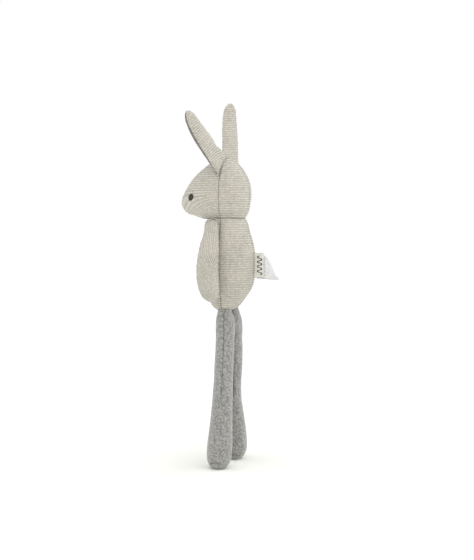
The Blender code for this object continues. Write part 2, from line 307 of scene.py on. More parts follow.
def knit_material(settings):
    """Two-tone ribbed knit: pale raised courses over darker sunken ones, broken up stitch by stitch."""
    shader = Shader("Ribbed knit", 0.85, sheen=0.30)
    ridge, wale, chance = knit_loops(shader)
    slub = shader.fit(shader.noise(520, 3), 0.3, 0.7)
    cloud = shader.fit(shader.noise(38, 2), 0.3, 0.7)
    fibre = shader.noise(2600, 2)
    broken = shader.add(shader.times(chance, 0.55), 0.30)
    share = shader.add(shader.times(ridge, broken), shader.times(slub, 0.42))
    share = shader.add(share, shader.times(wale, 0.12))
    yarn = shader.mix(share, rgba(settings.dark), rgba(settings.light))
    warm = [channel * tint for channel, tint in zip(settings.light, (0.90, 0.86, 0.85), strict=True)]
    yarn = shader.mix(shader.times(cloud, 0.45), yarn, rgba(warm))
    height = shader.add(shader.times(ridge, broken), shader.times(wale, 0.5))
    height = shader.add(height, shader.times(fibre, 0.5))
    roughness = shader.fit(shader.add(fibre, ridge), 2.6, -0.6)
    # the knit darkened with painted shade in its seams
    return shader.finish(seam_shade(shader, yarn, 0.75), roughness, height, 0.0005, 0.7)


def jersey_material(name, light, dark):
    """Brushed melange jersey: fine loops under a mottle of pale and dark fibres."""
    shader = Shader(name, 0.9, sheen=0.45)
    ridge, wale, chance = knit_loops(shader)
    mottle = shader.fit(shader.noise(430, 4), 0.36, 0.66)
    fleck = shader.fit(shader.noise(1300, 3), 0.38, 0.62)
    hair = shader.noise(3200, 2, stretch=(1, 1, 0.35))
    share = shader.add(shader.times(mottle, 0.60), shader.times(fleck, 0.34))
    share = shader.add(share, shader.times(shader.add(ridge, chance), 0.12))
    share = shader.math("SUBTRACT", share, 0.06)
    fibre = shader.mix(share, rgba(dark), rgba(light))
    height = shader.add(shader.times(ridge, 0.35), shader.times(wale, 0.25))
    height = shader.add(height, shader.times(hair, 0.9))
    roughness = shader.fit(hair, 1.6, -0.4)
    # the jersey darkened with painted shade in its seams and the feet's creases
    return shader.finish(seam_shade(shader, fibre, 0.70), roughness, height, 0.0004, 0.75)


def thread_material(name, colour):
    """Twisted cotton thread, with painted shade in the hollows of its twist."""
    shader = Shader(name, 0.6, sheen=0.1)
    twist = shader.noise(3000, 2, stretch=(1, 1, 0.3))
    # painted shade: the thread darker in the hollows of its twist
    twist_shade = [0.6 * channel for channel in colour]
    shade = shader.mix(shader.fit(twist, 0.3, 0.7), rgba(twist_shade), rgba(colour))
    return shader.finish(shade, shader.fit(twist, 1.5, -0.6), twist, 0.0002)


def tape_material(name, light, dark, rows, roughness, glints, printed=0.0):
    """A tape's crossed threads, rows in its width, with broken printed lines as strong as printed says."""
    shader = Shader(name, roughness, sheen=0.08)
    place = shader.node("UVMap", uv_map=FABRIC_MAP).outputs[0]
    parts = shader.node("SeparateXYZ", {0: place})
    warp = shader.math("SINE", shader.times(parts.outputs[0], rows * math.pi))
    weft = shader.math("SINE", shader.times(parts.outputs[1], rows * math.pi))
    weave = shader.add(shader.times(shader.times(warp, weft), 0.5), 0.5)
    cloud = shader.fit(shader.noise(260, 3), 0.3, 0.7)
    share = shader.add(shader.times(weave, 0.4), shader.times(cloud, 0.5))
    colour = shader.mix(share, rgba(dark), rgba(light))
    line = shader.fit(shader.math("SINE", shader.times(parts.outputs[1], 44.0)), 0.35, 0.85)
    gaps = shader.fit(shader.noise(420, 2), 0.46, 0.54)
    ink = shader.times(shader.times(line, gaps), printed)
    colour = shader.mix(ink, colour, (0.30, 0.30, 0.33, 1))
    return shader.finish(colour, shader.fit(weave, -glints, 1 + glints), weave, 0.0001, 0.5)


# ---------------------------------------------------------------- covers drawn over the frame

class Wrap:
    """The outside of some frame nodes, seen along the line from a low end to a high end."""

    def __init__(self, nodes, low, high):
        self.nodes = nodes
        self.low = Vector(low)
        self.length = (Vector(high) - self.low).length
        self.axis = (Vector(high) - self.low).normalized()
        self.across = (ACROSS - self.axis * self.axis.dot(ACROSS)).normalized()
        self.along = self.axis.cross(self.across)
        self.trees, edges = [], []
        for name in nodes:
            mesh = frame["nodes"][name].data
            bm = bmesh.new()
            bm.from_mesh(mesh)
            self.trees.append(BVHTree.FromBMesh(bm))
            bm.free()
            points = np.array([vert.co for vert in mesh.vertices])
            edges.append(points[[edge.vertices[:] for edge in mesh.edges]])
        self.edges = np.concatenate(edges)
        self.found = {}

    def section(self, height):
        """(middle, half size across, half size along) where the nodes are cut at this height."""
        key = round(height, 7)
        if key not in self.found:
            first, second = (self.edges - np.array(self.low)).swapaxes(0, 1)
            below, above = first @ np.array(self.axis) - height, second @ np.array(self.axis) - height
            cut = below * above < 0
            share = (below[cut] / (below[cut] - above[cut]))[:, None]
            points = first[cut] + share * (second[cut] - first[cut])
            across, along = points @ np.array(self.across), points @ np.array(self.along)
            middle = self.low + self.axis * height
            middle += self.across * (across.max() + across.min()) / 2
            middle += self.along * (along.max() + along.min()) / 2
            self.found[key] = middle, np.ptp(across) / 2, np.ptp(along) / 2
        return self.found[key]

    def surface(self, middle, direction):
        """The outermost point of the nodes, seen from the middle along this direction."""
        direction = direction.normalized()
        start = middle + direction * REACH
        beside = direction.orthogonal().normalized() * GAP_STEP
        distances = []
        for step in (Vector(), beside, -beside, beside.cross(direction), -beside.cross(direction)):
            for tree in self.trees:
                hit = tree.ray_cast(start + step, -direction, REACH)
                if hit[0] is not None:
                    distances.append(hit[3])
        if not distances:  # past a thin, slanting end
            return min((tree.find_nearest(start) for tree in self.trees), key=lambda hit: hit[3])[0]
        return start - direction * min(distances)

    def offsets(self, points):
        """(height, across, along) of points, measured from the middle of the nodes at each height."""
        heights = np.linspace(*STEADY_ENDS, 24) * self.length
        middles = np.array([self.section(height)[0] for height in heights])
        height = (points - np.array(self.low)) @ np.array(self.axis)
        middle = np.stack([np.interp(height, heights, middles[:, k]) for k in range(3)], axis=1)
        away = points - middle
        return height, away @ np.array(self.across), away @ np.array(self.along)


def wrapped_mesh(wrap, sides, rings, cap, proud=0.0):
    """A closed mesh drawn tight over the nodes and then set proud of them, in metres.

    Its poles are at the two ends, which round off over cap metres.
    """
    bm = bmesh.new()
    bmesh.ops.create_uvsphere(bm, u_segments=sides, v_segments=rings, radius=1)
    quarter = math.pi / 2 * cap
    cap_share = quarter / (2 * quarter + wrap.length - 2 * cap)
    for vert in bm.verts:
        share = 1 - math.acos(max(-1.0, min(1.0, vert.co.z))) / math.pi
        angle = math.atan2(vert.co.y, vert.co.x)
        tilt = 0.0
        height = cap + (share - cap_share) / (1 - 2 * cap_share) * (wrap.length - 2 * cap)
        if share < cap_share:
            tilt, height = -(1 - share / cap_share) * math.pi / 2, cap
        elif share > 1 - cap_share:
            tilt, height = (1 - (1 - share) / cap_share) * math.pi / 2, wrap.length - cap
        middle, half_across, half_along = wrap.section(height)
        flat = wrap.across * half_across * math.cos(angle) + wrap.along * half_along * math.sin(angle)
        vert.co = wrap.surface(middle, flat * math.cos(tilt) + wrap.axis * cap * math.sin(tilt))
    bmesh.ops.smooth_vert(bm, verts=bm.verts, factor=0.5, use_axis_x=True, use_axis_y=True, use_axis_z=True)
    bm.normal_update()
    for vert in bm.verts:
        vert.co += vert.normal * proud
    return bm


def new_piece(name, bm, material, closed=True):
    """A smooth-shaded object at the origin, from a finished bmesh. A closed one's faces turn outwards."""
    if closed:
        bmesh.ops.recalc_face_normals(bm, faces=bm.faces)
        if bm.calc_volume(signed=True) < 0:
            bmesh.ops.reverse_faces(bm, faces=bm.faces)
    mesh = bpy.data.meshes.new(name)
    bm.to_mesh(mesh)
    bm.free()
    mesh.materials.append(material)
    mesh.shade_smooth()
    piece = bpy.data.objects.new(name, mesh)
    bpy.context.scene.collection.objects.link(piece)
    return piece


def points_of(mesh):
    """A mesh's points, one to a row."""
    points = np.empty(len(mesh.vertices) * 3)
    mesh.vertices.foreach_get("co", points)
    return points.reshape(-1, 3)


CLOTH_MASS = 0.002  # kilograms at each point


def plump(piece, pinned, sewing):
    """Swells a cover between its pinned seams with the stuffing's pressure, each point by swell at most."""
    rest = points_of(piece.data)
    seams = piece.vertex_groups.new(name="Seams")
    seams.add([int(index) for index in np.flatnonzero(pinned)], 1.0, "REPLACE")
    cloth = piece.modifiers.new("Stuffing", "CLOTH")
    cloth.settings.quality = 5
    cloth.settings.mass = CLOTH_MASS
    cloth.settings.use_pressure = True
    cloth.settings.uniform_pressure_force = sewing.pressure
    cloth.settings.vertex_group_mass = "Seams"
    cloth.settings.effector_weights.gravity = 0
    cloth.point_cache.frame_start, cloth.point_cache.frame_end = 1, sewing.frames
    scene = bpy.context.scene
    for number in range(1, sewing.frames + 1):
        scene.frame_set(number)
    filled = points_of(piece.evaluated_get(bpy.context.evaluated_depsgraph_get()).data)
    piece.modifiers.remove(cloth)
    piece.vertex_groups.clear()
    scene.frame_set(1)
    moved = filled - rest
    far = np.linalg.norm(moved, axis=1, keepdims=True)
    moved *= np.minimum(1.0, sewing.swell / np.maximum(far, 1e-9))
    piece.data.vertices.foreach_set("co", (rest + moved).ravel())
    piece.data.update()
    most, mean = far.max() * 1000, far.mean() * 1000
    print(f"{piece.name}: before the cap, stuffing moved it {most:.2f} mm at most, {mean:.2f} mm on average")


def subdivide(piece, levels):
    """Applies a Subdivision Surface to the piece."""
    fine = piece.modifiers.new("Fine", "SUBSURF")
    fine.levels = fine.render_levels = levels
    apply_modifiers(piece)


def apply_modifiers(piece):
    """Puts the evaluated mesh in the place of the piece's own."""
    graph = bpy.context.evaluated_depsgraph_get()
    mesh = bpy.data.meshes.new_from_object(piece.evaluated_get(graph), depsgraph=graph)
    coarse = piece.data
    piece.modifiers.clear()
    piece.data = mesh
    bpy.data.meshes.remove(coarse)
    mesh.name = piece.name


def lumps(points, pitch, seed):
    """A soft, uneven field from -1 to 1, whose bumps are about pitch metres apart."""
    waves = np.random.default_rng(seed)
    total = np.zeros(len(points))
    for _ in range(6):
        direction = waves.normal(size=3)
        direction /= np.linalg.norm(direction)
        pace = points @ direction * math.pi / pitch * waves.uniform(0.7, 1.3)
        total += np.sin(pace + waves.uniform(0, 2 * math.pi))
    return total / 6


def knit_relief(across, up):
    """The raised yarn of V-shaped loops, from -1 to 1, at these wales and courses."""
    beside = np.abs(across % 1.0 - 0.5)
    return np.cos(2 * math.pi * (up + 0.45 * beside)) * (0.75 + 0.25 * np.cos(2 * math.pi * across))


def fade(distance, reach):
    """1 at no distance, falling smoothly to nearly nothing at twice the reach."""
    return np.exp(-((distance / reach) ** 2))


NECK_SHADE = 0.0007  # half height of the painted shade line in the neck seam
PUCKER_REACH = 0.0042  # how far from a seam its gathers die away
SEAM_SHADE_BEAT = 2000  # radians for each metre of a seam, of its painted shade line's rise and fall
LUMP_PITCH = 0.013  # spacing of the stuffing's lumps
SHADE_PITCH, GATHER_PITCH = 0.006, 0.02  # and of the unevenness in the neck's painted shade line and in the gathers


def sew(piece, fabric, seams, settings, sewing, soft=0.0003, seed=1):
    """Presses seams, puckers, the stuffing's lumps and the knit's relief into a cover, paints shade along its
    seams, and maps its fabric.

    fabric gives (metres across, metres up) of points; seams gives [(distance to a seam, metres along), ...].
    """
    mesh = piece.data
    points = points_of(mesh)
    normals = np.empty(len(points) * 3)
    mesh.vertex_normals.foreach_get("vector", normals)
    across, up = fabric(points)
    across, up = across / settings.wale, up / settings.course
    lift = settings.relief * knit_relief(across, up) + soft * lumps(points, LUMP_PITCH, seed)
    from_neck = np.abs(points[:, 2] - NECK.z)
    # painted shade along the neck seam's groove, stronger and weaker by turns
    shade = fade(from_neck, NECK_SHADE) * (0.72 + 0.28 * lumps(points, SHADE_PITCH, seed))
    for distance, along in seams(points):
        # painted shade along each seam's groove and each crease
        line = fade(distance, sewing.seam_shade_width) * (0.80 + 0.20 * np.cos(along * SEAM_SHADE_BEAT))
        shade = np.maximum(shade, line)
        drift = 0.35 * lumps(points, GATHER_PITCH, seed + 1)
        gather = np.cos(2 * math.pi * (along / sewing.pucker_pitch + drift))
        lift -= sewing.groove * fade(distance, sewing.groove_width)
        lift += sewing.pucker * gather * fade(distance, PUCKER_REACH)
    lift *= smooth_step(from_neck, 0.0005, 0.0022)  # the neck's edges stay together
    mesh.vertices.foreach_set("co", (points + normals.reshape(-1, 3) * lift[:, None]).ravel())
    corners = np.empty(len(mesh.loops), np.int32)
    mesh.loops.foreach_get("vertex_index", corners)
    fabric_map = mesh.uv_layers.new(name=FABRIC_MAP)
    fabric_map.data.foreach_set("uv", np.stack([across, up], axis=1)[corners].astype(np.float32).ravel())
    # the painted shade is kept on the points, for the fabrics to darken by
    mesh.attributes.new(SEAM_SHADE_LAYER, "FLOAT", "POINT").data.foreach_set("value", shade.astype(np.float32))
    mesh.update()
    mesh.shade_smooth()


def round_the_middle(across, along):
    """Metres round a cover from its front seam, the same on both sides."""
    angle = np.abs(np.arctan2(across, -along))
    return angle * np.hypot(across, along)


def ease(share):
    """A smooth rise from 0 to 1 as a number goes from 0 to 1."""
    share = max(0.0, min(1.0, share))
    return share * share * (3 - 2 * share)


def smooth_step(value, low, high):
    """The same rise for an array, as its values go from low to high."""
    share = np.clip((value - low) / (high - low), 0, 1)
    return share * share * (3 - 2 * share)


# ---------------------------------------------------------------- stitches

def tree_of(piece):
    """A tree of a piece's surface, for lines to hit."""
    bm = bmesh.new()
    bm.from_mesh(piece.data)
    tree = BVHTree.FromBMesh(bm)
    bm.free()
    return tree


def land(tree, start, direction):
    """(point, normal) where a line meets a piece."""
    point, normal, _, _ = tree.ray_cast(Vector(start), Vector(direction).normalized(), REACH * 2)
    if point is None:
        raise RuntimeError(f"no surface from {tuple(start)} along {tuple(direction)}")
    return point, normal


def add_stitch(bm, point, normal, run, length, radius):
    """One short stitch lying on a surface, rounded at its ends, with its length along run."""
    run = (run - normal * run.dot(normal)).normalized()
    turn = Matrix((run, normal.cross(run), normal)).transposed().to_4x4()
    size = Matrix.Diagonal((length / 2, radius, radius, 1))
    place = Matrix.Translation(point) @ turn @ size @ Matrix.Rotation(math.pi / 2, 4, "Y")
    bmesh.ops.create_uvsphere(bm, u_segments=6, v_segments=6, radius=1, matrix=place)


# ---------------------------------------------------------------- head

HEAD_NODES = ["head_front_left", "head_front_right", "head_back_left", "head_back_right", "head_filling"]
BODY_NODES = ["body_front", "body_back_left", "body_back_right", "body_filling"]
NECK_RADIUS = 0.0228  # where the head's and the body's covers are sewn together
NECK_OVERLAP = 0.0002  # how far each of the two reaches past the seam
NECK_MIDDLE = -0.0015  # how far in front of the hinge the seam's middle is
NECK_ENDS = 0.008  # height over which a cover's end is gathered to the seam
NECK_WIDEN, NECK_FLARE = 0.10, 0.018  # how much fuller the covers are at the neck, and over what height
CHIN_DROP = 0.0028  # how far the chin sags in front of the seam
HEAD_BLEND = 0.0085  # height over which the head's fabric gives as it nods
PINNED = 0.0008  # half width of the strip of a seam that the simulation holds still
NECK_PINNED = 0.003  # and of the one at the neck


def close_neck(bm, side):
    """Levels a cover's end at the neck seam: side 1 is the head's cover, above it, and -1 is the body's."""
    level = NECK.z - side * NECK_OVERLAP
    for vert in bm.verts:
        away = Vector((vert.co.x, vert.co.y - NECK.y - NECK_MIDDLE))
        if away.length < NECK_RADIUS * (1 + NECK_WIDEN) and side * (vert.co.z - NECK.z) < NECK_ENDS:
            vert.co.z = level


def widen_neck(vert, side):
    """Brings a cover out as it nears the neck seam."""
    share = ease(1 - side * (vert.co.z - NECK.z) / NECK_FLARE)
    vert.co.x *= 1 + NECK_WIDEN * share
    vert.co.y = NECK.y + (vert.co.y - NECK.y) * (1 + NECK_WIDEN * share)


def head_fabric(points):
    """Level courses, which fan down towards the nose on the lower snout."""
    across, along = points[:, 0], points[:, 1] - NECK.y
    height = points[:, 2] - NECK.z
    low = 1 - smooth_step(height, 0.004, 0.036)
    return round_the_middle(across, along), height + 0.42 * low * np.maximum(0.0, -along - 0.008)


def head_seams(points):
    """The side seams and the centre seam."""
    across, along, height = points[:, 0], points[:, 1] - NECK.y, points[:, 2] - NECK.z
    return [(np.abs(along), height), (np.abs(across), height * 1.1)]


class RABBIT_OT_head(bpy.types.Operator):
    """Knit the head's cover"""

    bl_idname = "rabbit.head"
    bl_label = "Head"

    def execute(self, context):
        sewing, knit = context.scene.rabbit_sewing, context.scene.rabbit_knit
        box = [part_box(node) for node in HEAD_NODES]
        low, high = min(corners[0].z for corners in box), max(corners[1].z for corners in box)
        wrap = Wrap(HEAD_NODES, (0, NECK.y, low), (0, NECK.y, high))
        bm = wrapped_mesh(wrap, sides=72, rings=44, cap=0.034, proud=0.0007)
        for vert in bm.verts:
            front = NECK.y - vert.co.y
            chin = ease((front - 0.012) / 0.012) * (1 - ease((front - 0.024) / 0.018))
            vert.co.z -= CHIN_DROP * chin * ease((NECK.z + 0.016 - vert.co.z) / 0.010)
            widen_neck(vert, 1)
        close_neck(bm, 1)
        piece = new_piece("head_cover", bm, bpy.data.materials["Ribbed knit"])
        points = points_of(piece.data)
        seams = np.minimum(np.abs(points[:, 0]), np.abs(points[:, 1] - NECK.y)) < PINNED
        plump(piece, seams | (points[:, 2] < NECK.z + NECK_PINNED), sewing)
        subdivide(piece, 2)
        sew(piece, head_fabric, head_seams, knit, sewing, seed=3)
        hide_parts(*HEAD_NODES)
        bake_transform(piece, "body", "head", NECK, NECK + UP * HEAD_BLEND)
        return {"FINISHED"}


# ---------------------------------------------------------------- body

BODY_DROP = 0.0060  # how far the body's cover reaches down over the tops of the legs
BODY_SPREAD = 0.9  # how much wider that makes its end, so that it takes both legs
BODY_FOOT = 0.2053  # below here it is drawn down


def body_fabric(points):
    """Level courses."""
    across, along = points[:, 0], points[:, 1] - NECK.y
    return round_the_middle(across, along), points[:, 2]


def body_seams(points):
    """The side seams and the centre back seam."""
    across, along, height = points[:, 0], points[:, 1] - NECK.y, points[:, 2]
    back = np.where(along > 0, np.abs(across), 1.0)  # a metre off: no seam in front
    return [(np.abs(along), height), (back, height * 1.1)]


class RABBIT_OT_body(bpy.types.Operator):
    """Knit the body's cover"""

    bl_idname = "rabbit.body"
    bl_label = "Body"

    def execute(self, context):
        sewing, knit = context.scene.rabbit_sewing, context.scene.rabbit_knit
        box = [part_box(node) for node in BODY_NODES]
        low, high = min(corners[0].z for corners in box), max(corners[1].z for corners in box)
        wrap = Wrap(BODY_NODES, (0, NECK.y, low), (0, NECK.y, high))
        bm = wrapped_mesh(wrap, sides=72, rings=54, cap=0.030)
        for vert in bm.verts:
            widen_neck(vert, -1)
        close_neck(bm, -1)
        for vert in bm.verts:
            share = max(0.0, BODY_FOOT - vert.co.z) / (BODY_FOOT - low)
            vert.co.z -= BODY_DROP * share
            vert.co.x *= 1 + BODY_SPREAD * share**1.5
        piece = new_piece("body_cover", bm, bpy.data.materials["Ribbed knit"])
        points = points_of(piece.data)
        seams = np.abs(points[:, 1] - NECK.y) < PINNED
        seams |= (np.abs(points[:, 0]) < PINNED) & (points[:, 1] > 0)
        plump(piece, seams | (points[:, 2] > NECK.z - NECK_PINNED), sewing)
        subdivide(piece, 2)
        sew(piece, body_fabric, body_seams, knit, sewing, seed=5)
        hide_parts(*BODY_NODES)
        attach(piece, "body")
        return {"FINISHED"}


# ---------------------------------------------------------------- arms and legs

LIMB_END = 0.0005  # depth of the slice that a limb's end is the middle of
LIMB_PINNED = 0.0005  # half width of the strip of a limb's seam that the simulation holds still


def ends_of(nodes):
    """The lowest and highest points of a limb's nodes, each in the middle of its end."""
    points = np.concatenate([points_of(frame["nodes"][node].data) for node in nodes])
    ends = []
    for height in (points[:, 2].min(), points[:, 2].max()):
        near = points[np.abs(points[:, 2] - height) < LIMB_END]
        ends.append(Vector((*((near.min(axis=0) + near.max(axis=0)) / 2)[:2], height)))
    return ends


ARM_STRETCH = 0.60  # how much the arms' tops are drawn up to the neck seam
ARM_TUCK = 0.45  # and in under it
ARM_GRAIN_TOP = math.radians(70)  # how steeply the stripes run at the shoulder
ARM_GRAIN_TURN = math.radians(36)  # and how much less steeply at the hand
ARM_TURNS_AT = 0.045  # height up the arm that the stripes turn about


class RABBIT_OT_arms(bpy.types.Operator):
    """Knit both arms' covers"""

    bl_idname = "rabbit.arms"
    bl_label = "Arms"

    def execute(self, context):
        sewing, knit = context.scene.rabbit_sewing, context.scene.rabbit_knit
        for side in SIDES:
            nodes = [f"arm_{side}_{part}" for part in ("outer", "inner", "filling")]
            wrap = Wrap(nodes, *ends_of(nodes))
            bm = wrapped_mesh(wrap, sides=28, rings=40, cap=0.008)
            shoulder = HINGES[f"arm_{side}"]
            for vert in bm.verts:
                above = max(0.0, vert.co.z - shoulder.z)
                vert.co.z += above * ARM_STRETCH
                vert.co.x -= SIDES[side] * above * ARM_TUCK
            piece = new_piece(f"arm_{side}_cover", bm, bpy.data.materials["Ribbed knit"])

            def fabric(points, wrap=wrap):
                height, across, along = wrap.offsets(points)
                turn = ARM_GRAIN_TOP - ARM_GRAIN_TURN * (1 - smooth_step(height, 0.030, 0.065))
                around = np.arctan2(along, np.abs(across)) * np.hypot(across, along)
                height = height - ARM_TURNS_AT
                wales = around * np.cos(turn) - height * np.sin(turn)
                return wales, height * np.cos(turn) + around * np.sin(turn)

            def seams(points, wrap=wrap):
                height, across, _ = wrap.offsets(points)
                return [(np.abs(across), height)]

            _, across, _ = wrap.offsets(points_of(piece.data))
            plump(piece, np.abs(across) < LIMB_PINNED, sewing)
            subdivide(piece, 2)
            sew(piece, fabric, seams, knit, sewing, soft=0.0002, seed=7)
            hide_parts(*nodes)
            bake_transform(piece, "body", f"arm_{side}", shoulder + UP * 0.004, shoulder - UP * 0.012)
        return {"FINISHED"}


CREASE_HEIGHT = 0.0074  # of the fold across each foot
THIGH_FULLER, HIP_FULLER = 0.08, 0.18  # how much fuller the legs are from the knee up, and at the hip
LEG_SEAM_BACK = 0.0026  # how far behind a leg's middle its seam runs
SHIN_BEND = 0.0042  # how far the right leg's soft shin bows forward
LEG_STRETCH = 2.0  # how much the legs' tops are drawn up into the body's cover
SOLE_PINNED = 0.004  # height of the sole, which the simulation holds still


class RABBIT_OT_legs(bpy.types.Operator):
    """Cut both legs' covers from jersey"""

    bl_idname = "rabbit.legs"
    bl_label = "Legs"

    def execute(self, context):
        sewing, jersey = context.scene.rabbit_sewing, context.scene.rabbit_jersey
        for side in SIDES:
            nodes = [f"leg_{side}_{part}" for part in ("front", "back", "filling")]
            hip = HINGES[f"leg_{side}"]
            wrap = Wrap(nodes, *ends_of(nodes))
            bm = wrapped_mesh(wrap, sides=32, rings=64, cap=0.010)
            for vert in bm.verts:
                middle = wrap.low + wrap.axis * (vert.co.z - wrap.low.z)
                fuller = THIGH_FULLER * ease((vert.co.z - 0.10) / 0.05)
                fuller += HIP_FULLER * ease((vert.co.z - 0.150) / 0.032)
                vert.co += Vector((vert.co.x - middle.x, vert.co.y - middle.y, 0)) * fuller
                if side == "right":
                    vert.co.y -= SHIN_BEND * math.exp(-(((vert.co.z - 0.082) / 0.034) ** 2))
                vert.co.z += max(0.0, vert.co.z - hip.z) * (LEG_STRETCH - 1)
            piece = new_piece(f"leg_{side}_cover", bm, bpy.data.materials["Melange jersey"])

            def fabric(points, wrap=wrap):
                height, across, along = wrap.offsets(points)
                return round_the_middle(across, along), height

            def seams(points, wrap=wrap):
                height, _, along = wrap.offsets(points)
                shallow = 0.003 * (1 - smooth_step(height, 0.06, 0.09))
                beside = np.abs(along - 0.001)
                # the fold across the foot, pressed in and darkened with painted shade like a seam
                crease = np.abs(height - CREASE_HEIGHT + 0.25 * np.maximum(0, beside - 0.003))
                crease += 0.02 * smooth_step(beside, 0.007, 0.011)
                # the crease is listed twice, so that it is pressed twice as deep
                return [(np.abs(along - LEG_SEAM_BACK) + shallow, height), (crease, along), (crease, along)]

            _, _, along = wrap.offsets(points_of(piece.data))
            sole = points_of(piece.data)[:, 2] < SOLE_PINNED
            plump(piece, (np.abs(along) < LIMB_PINNED) | sole, sewing)
            subdivide(piece, 2)
            sew(piece, fabric, seams, jersey, sewing, soft=0.00035, seed=11)
            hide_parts(*nodes)
            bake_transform(piece, "body", f"leg_{side}", hip + UP * 0.008, hip - UP * 0.012)
        return {"FINISHED"}


# ---------------------------------------------------------------- ears

EAR_LENGTH = 0.0755
EAR_TUCK = 0.0040  # how far the ears' ends go down into the head
EAR_SLOPE, EAR_CURVE = 1.17, 39.0  # how an ear's lower edge falls with the metres out, and with their square
EAR_SHAPE = [  # share of the length, half width, half thickness
    (0.00, 0.0095, 0.0016),
    (0.04, 0.0128, 0.0028),
    (0.15, 0.0155, 0.0043),
    (0.30, 0.0152, 0.0050),
    (0.46, 0.0142, 0.0050),
    (0.62, 0.0124, 0.0048),
    (0.78, 0.0106, 0.0044),
    (0.90, 0.0084, 0.0037),
    (0.97, 0.0051, 0.0027),
    (1.00, 0.0018, 0.0014),
]
# How far each ear leans outwards and forwards, its turn at the base and the tip, and its curl, in degrees.
EAR_POSES = {"left": (25, 38, -6, -20, -11), "right": (-2, 9, 1, 38, -7)}
INNER_RISE = 0.30  # the share of that slope that the inner half of the ear keeps
EAR_FULLER = {"left": 1.0, "right": 1.5}  # how much fuller each ear is at its base
EAR_FORWARD = {"left": 0.0030, "right": 0.0026}  # how far each ear's lower third is drawn forward
LINING_WRAP = 0.34  # how far the lining turns round the outer edge
LINING_INSET = 0.55  # how far it stops short of the inner edge
EAR_CLOTH = 0.0008  # thickness of a panel
EAR_SEAM_PINNED = 0.12  # how near to the lining's edge the simulation holds an ear still
EAR_BASE_PINNED = 0.002  # and up to what height
EAR_GIVE = 0.014  # length over which an ear's fabric gives as it folds


def lining_side(front, edge, up):
    """Above 0 where an ear is lined, from how far a point faces forward and outward, and its height."""
    turned = smooth_step(up, 0.006, 0.036)
    outer = LINING_WRAP * turned - LINING_INSET * (1 - turned)
    return front + outer * np.maximum(0, edge) - LINING_INSET * np.maximum(0, -edge)


EDGE_LAYERS = ("ear_front", "ear_edge", "ear_up")
EAR_LAYERS = ("ear_across", "ear_up", "ear_course", "ear_front", "ear_edge")


def ear_mesh(side, sides, rings):
    """A closed ear, with each point's place across, up and round it kept for its fabric and its seam.

    The poles lie in the same planes as the rings next to them, so that both ends close flat.
    """
    shares, widths, depths = zip(*EAR_SHAPE, strict=True)
    out, forward, low_turn, tip_turn, curl = (math.radians(angle) for angle in EAR_POSES[side])
    base = HINGES[f"ear_{side}"]
    bm = bmesh.new()
    bmesh.ops.create_uvsphere(bm, u_segments=sides, v_segments=rings, radius=1)
    kept = {name: bm.verts.layers.float.new(name) for name in EAR_LAYERS}
    for vert in bm.verts:
        rise = 1 - math.acos(max(-1.0, min(1.0, vert.co.z))) / math.pi
        angle = math.atan2(vert.co.y, vert.co.x)
        at_pole = rise < 1e-6 or rise > 1 - 1e-6
        climbed = min(1.0, max(0.0, (rise * (rings + 1) - 1) / (rings - 1)))
        up = -EAR_TUCK + (EAR_LENGTH + EAR_TUCK) * climbed
        share = max(0.0, up / EAR_LENGTH)
        fuller = 1 + (EAR_FULLER[side] - 1) * (1 - ease(share / 0.30))
        width = 0 if at_pole else np.interp(share, shares, widths) * fuller
        depth = 0 if at_pole else np.interp(share, shares, depths)
        vert[kept["ear_across"]], vert[kept["ear_up"]] = width * math.cos(angle), up
        vert[kept["ear_front"]], vert[kept["ear_edge"]] = -math.sin(angle), math.cos(angle)
        local = Vector((width * math.cos(angle), depth * math.sin(angle), up))
        local.rotate(Matrix.Rotation(low_turn + (tip_turn - low_turn) * share, 3, "Z"))
        fall = EAR_SLOPE * local.x + EAR_CURVE * local.x**2
        local.z -= (1 - ease(share / 0.55)) * (fall if local.x > 0 else fall * INNER_RISE)
        local.y -= EAR_FORWARD[side] * math.exp(-(((share - 0.16) / 0.17) ** 2))
        vert[kept["ear_course"]] = local.z
        leant = ease(share / 0.25)
        local.rotate(Matrix.Rotation(forward * leant + curl * share, 3, "X"))
        local.rotate(Matrix.Rotation(out * leant, 3, "Y"))
        vert.co = (base.x + SIDES[side] * local.x, base.y + local.y, base.z + local.z)
    return bm


def read_layer(mesh, name):
    """A number kept on each point of a mesh."""
    values = np.empty(len(mesh.vertices), np.float32)
    mesh.attributes[name].data.foreach_get("value", values)
    return values.astype(float)


def ear_panel(whole, name, keep, material):
    """One panel of an ear, cut from the whole and given the cloth's thickness inwards."""
    bm = bmesh.new()
    bm.from_mesh(whole.data)
    front, edge, up = (bm.verts.layers.float[name] for name in ("ear_front", "ear_edge", "ear_up"))
    others = []
    for face in bm.faces:
        facing = sum(lining_side(vert[front], vert[edge], vert[up]) for vert in face.verts)
        if (facing > 0) != (keep == "front"):
            others.append(face)
    bmesh.ops.delete(bm, geom=others, context="FACES")
    panel = new_piece(name, bm, material, closed=False)
    thick = panel.modifiers.new("Thickness", "SOLIDIFY")
    thick.thickness, thick.offset = EAR_CLOTH, -1
    apply_modifiers(panel)
    return panel


